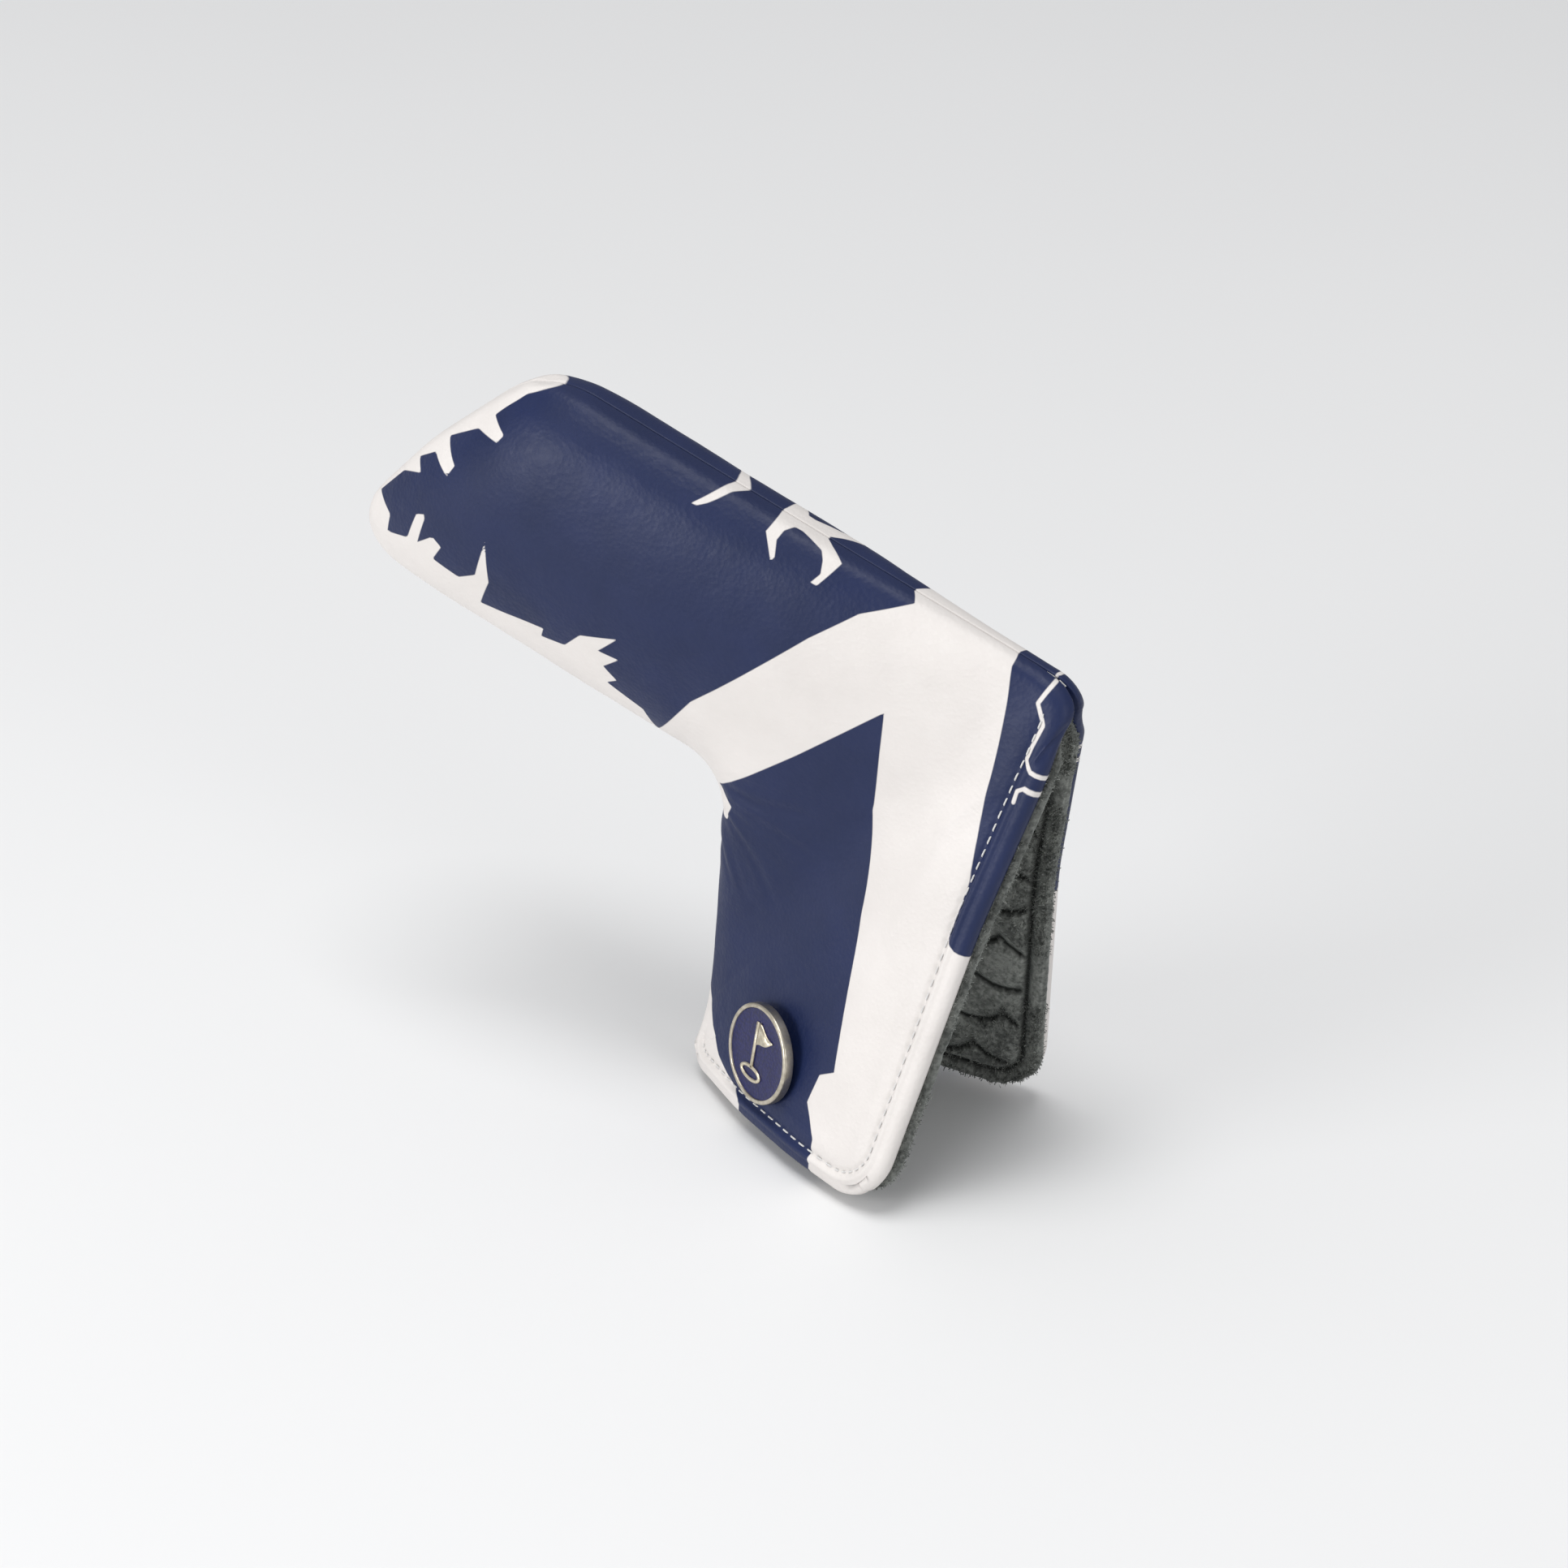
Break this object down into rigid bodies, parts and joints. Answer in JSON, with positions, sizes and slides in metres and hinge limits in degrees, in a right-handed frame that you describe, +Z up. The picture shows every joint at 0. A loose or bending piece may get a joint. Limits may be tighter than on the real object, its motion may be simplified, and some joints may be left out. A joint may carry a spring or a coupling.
{
  "type": "putter head cover",
  "caption": "L-shaped padded leather sleeve for a blade putter head, split along its neck into two magnet-closed flaps, with a removable round ball marker.",
  "frame": {"origin": "on the floor, below the centre of the bounding box of the cover as it stands open on its two flaps", "axes": "+X from the toe of the head pocket to its heel, +Y from the front half to the back half, +Z up"},
  "size_m": [0.1868, 0.0722, 0.1705],
  "materials": {
    "leather_print": "satin printed leather, navy with white",
    "foam": "soft foam sheet",
    "plush": "short dark grey pile, quilted",
    "thread": "twisted polyester thread",
    "magnet_steel": "nickel plated",
    "pouch_cloth": "thin woven cloth",
    "marker_metal": "antique brass, rubbed",
    "marker_enamel": "blue enamel",
    "marker_figure": "pale polished brass"
  },
  "bodies": {
    "head_pocket": {"front_shell_head": "leather_print", "front_foam_head": "foam", "front_lining_head": "plush", "back_shell_head": "leather_print", "back_foam_head": "foam", "back_lining_head": "plush", "closing_seam_thread": "thread"},
    "front_flap": {"front_shell_flap": "leather_print", "front_foam_flap": "foam", "front_lining_flap": "plush", "front_closure_magnets": "magnet_steel", "front_magnet_pouches": "pouch_cloth", "front_hem_thread": "thread", "marker_magnet": "magnet_steel", "marker_magnet_pouch": "pouch_cloth"},
    "back_flap": {"back_shell_flap": "leather_print", "back_foam_flap": "foam", "back_lining_flap": "plush", "back_closure_magnets": "magnet_steel", "back_magnet_pouches": "pouch_cloth", "back_hem_thread": "thread"},
    "ball_marker": {"marker_body": "marker_metal", "marker_enamel": "marker_enamel", "marker_emblem": "marker_figure"}
  },
  "joints": [
    {"name": "front_flap_fold", "type": "hinge", "parent": "head_pocket", "child": "front_flap", "pos_m": [0.04528, -0.00118, 0.07146], "axis": [-0.6533, 0.066, -0.7543], "range_deg": [-36, 14]},
    {"name": "back_flap_fold", "type": "hinge", "parent": "head_pocket", "child": "back_flap", "pos_m": [0.04528, 0.00978, 0.07242], "axis": [0.6533, -0.066, 0.7543], "range_deg": [-17, 33]},
    {"name": "marker_pull", "type": "slide", "parent": "front_flap", "child": "ball_marker", "axis": [-0.4612, -0.8753, 0.1455], "range_m": [0, 0.025]}
  ]
}
